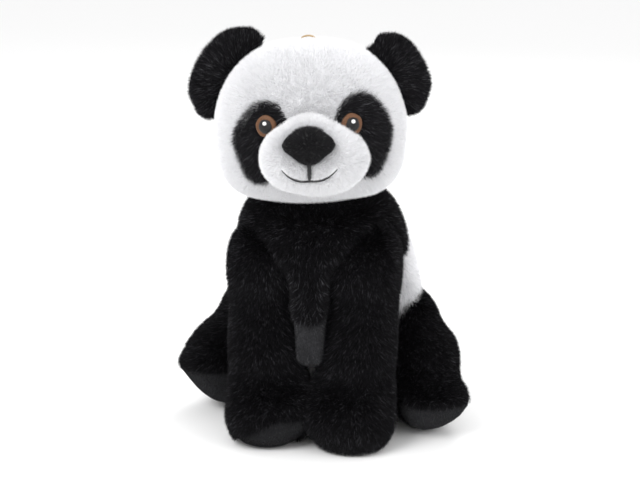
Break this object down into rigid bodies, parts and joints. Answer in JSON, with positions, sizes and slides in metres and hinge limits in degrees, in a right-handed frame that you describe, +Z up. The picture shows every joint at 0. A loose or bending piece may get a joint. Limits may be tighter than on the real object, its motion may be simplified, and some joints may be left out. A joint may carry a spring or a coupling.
{
  "type": "plush panda",
  "caption": "Soft stuffed panda toy sitting upright, with a turning and nodding head, folding ears, and legs that flex at their seams.",
  "frame": {"origin": "on the supporting surface, under the seat, on the middle plane of the torso", "axes": "+Z up, -Y the way the body faces, +X the toy's own left"},
  "size_m": [0.1838, 0.1809, 0.2457],
  "materials": {
    "white_plush": "short dense pile, soft, matt",
    "black_plush": "dense short black pile with a few bright fibres",
    "black_long_plush": "longer ragged black pile",
    "nose_plush": "very short black pile with tufted edge",
    "charcoal_plush": "smooth short charcoal pile",
    "brown_thread": "satin stitched embroidery thread",
    "black_thread": "embroidery thread",
    "white_thread": "embroidery thread",
    "tape": "woven cotton tape",
    "label": "blank woven satin",
    "stuffing": "loose polyester fibre",
    "pouch": "nonwoven cloth",
    "pellets": "small plastic beads"
  },
  "bodies": {
    "torso": {"belly_panel": "charcoal_plush", "chest_yoke": "black_plush", "pellet_pouch": "pouch", "rump_cover_left": "white_plush", "rump_cover_right": "white_plush", "seat_panel": "white_plush", "seat_pellets": "pellets", "sewn_in_label": "label", "tail": "white_plush", "torso_stuffing": "stuffing"},
    "neck": {"neck_stuffing": "stuffing"},
    "head": {"back_head_panel_left": "white_plush", "back_head_panel_right": "white_plush", "eye_highlight_left": "white_thread", "eye_highlight_right": "white_thread", "eye_patch_left": "black_long_plush", "eye_patch_right": "black_long_plush", "face_panel_left": "white_plush", "face_panel_right": "white_plush", "forehead_gusset": "white_plush", "hang_loop": "tape", "head_stuffing": "stuffing", "iris_left": "brown_thread", "iris_right": "brown_thread", "mouth_stitch": "black_thread", "muzzle_cover": "white_plush", "muzzle_stuffing": "stuffing", "nose": "nose_plush", "philtrum_stitch": "black_thread", "pupil_left": "black_thread", "pupil_right": "black_thread"},
    "ear_left": {"ear_left_back": "black_long_plush", "ear_left_front": "black_long_plush"},
    "ear_right": {"ear_right_back": "black_long_plush", "ear_right_front": "black_long_plush"},
    "front_leg_left": {"front_leg_left_cover": "black_plush", "front_leg_left_stuffing": "stuffing", "front_paw_left_pad": "charcoal_plush"},
    "front_leg_right": {"front_leg_right_cover": "black_plush", "front_leg_right_stuffing": "stuffing", "front_paw_right_pad": "charcoal_plush"},
    "hind_leg_left": {"hind_foot_left_sole": "charcoal_plush", "hind_leg_left_cover": "black_plush", "hind_leg_left_stuffing": "stuffing"},
    "hind_leg_right": {"hind_foot_right_sole": "charcoal_plush", "hind_leg_right_cover": "black_plush", "hind_leg_right_stuffing": "stuffing"}
  },
  "joints": [
    {"name": "neck_turn", "type": "hinge", "parent": "torso", "child": "neck", "pos_m": [-0.003, -0.016, 0.147], "axis": [0, 0, 1], "range_deg": [-25, 25], "stiffness_Nm_per_rad": 0.6},
    {"name": "head_nod", "type": "hinge", "parent": "neck", "child": "head", "pos_m": [-0.003, -0.016, 0.147], "axis": [0.9899, 0.1392, 0.0259], "range_deg": [-8, 8], "stiffness_Nm_per_rad": 1.6},
    {"name": "ear_left_fold", "type": "hinge", "parent": "head", "child": "ear_left", "pos_m": [0.04399, -0.00711, 0.22036], "axis": [0.5773, 0.0781, -0.8128], "range_deg": [-20, 20], "stiffness_Nm_per_rad": 0.03},
    {"name": "ear_right_fold", "type": "hinge", "parent": "head", "child": "ear_right", "pos_m": [-0.05432, -0.02093, 0.21778], "axis": [-0.5339, -0.0781, -0.8419], "range_deg": [-20, 20], "stiffness_Nm_per_rad": 0.03},
    {"name": "front_leg_left_swing", "type": "hinge", "parent": "torso", "child": "front_leg_left", "pos_m": [0.0295, -0.026, 0.104], "axis": [1, 0, 0], "range_deg": [-33, 5], "stiffness_Nm_per_rad": 0.3},
    {"name": "front_leg_right_swing", "type": "hinge", "parent": "torso", "child": "front_leg_right", "pos_m": [-0.0295, -0.026, 0.104], "axis": [1, 0, 0], "range_deg": [-33, 5], "stiffness_Nm_per_rad": 0.3},
    {"name": "hind_leg_left_spread", "type": "hinge", "parent": "torso", "child": "hind_leg_left", "pos_m": [0.042, 0.026, 0.037], "axis": [0, 0, 1], "range_deg": [0, 15], "stiffness_Nm_per_rad": 0.3},
    {"name": "hind_leg_right_spread", "type": "hinge", "parent": "torso", "child": "hind_leg_right", "pos_m": [-0.042, 0.026, 0.037], "axis": [0, 0, -1], "range_deg": [0, 15], "stiffness_Nm_per_rad": 0.3}
  ]
}
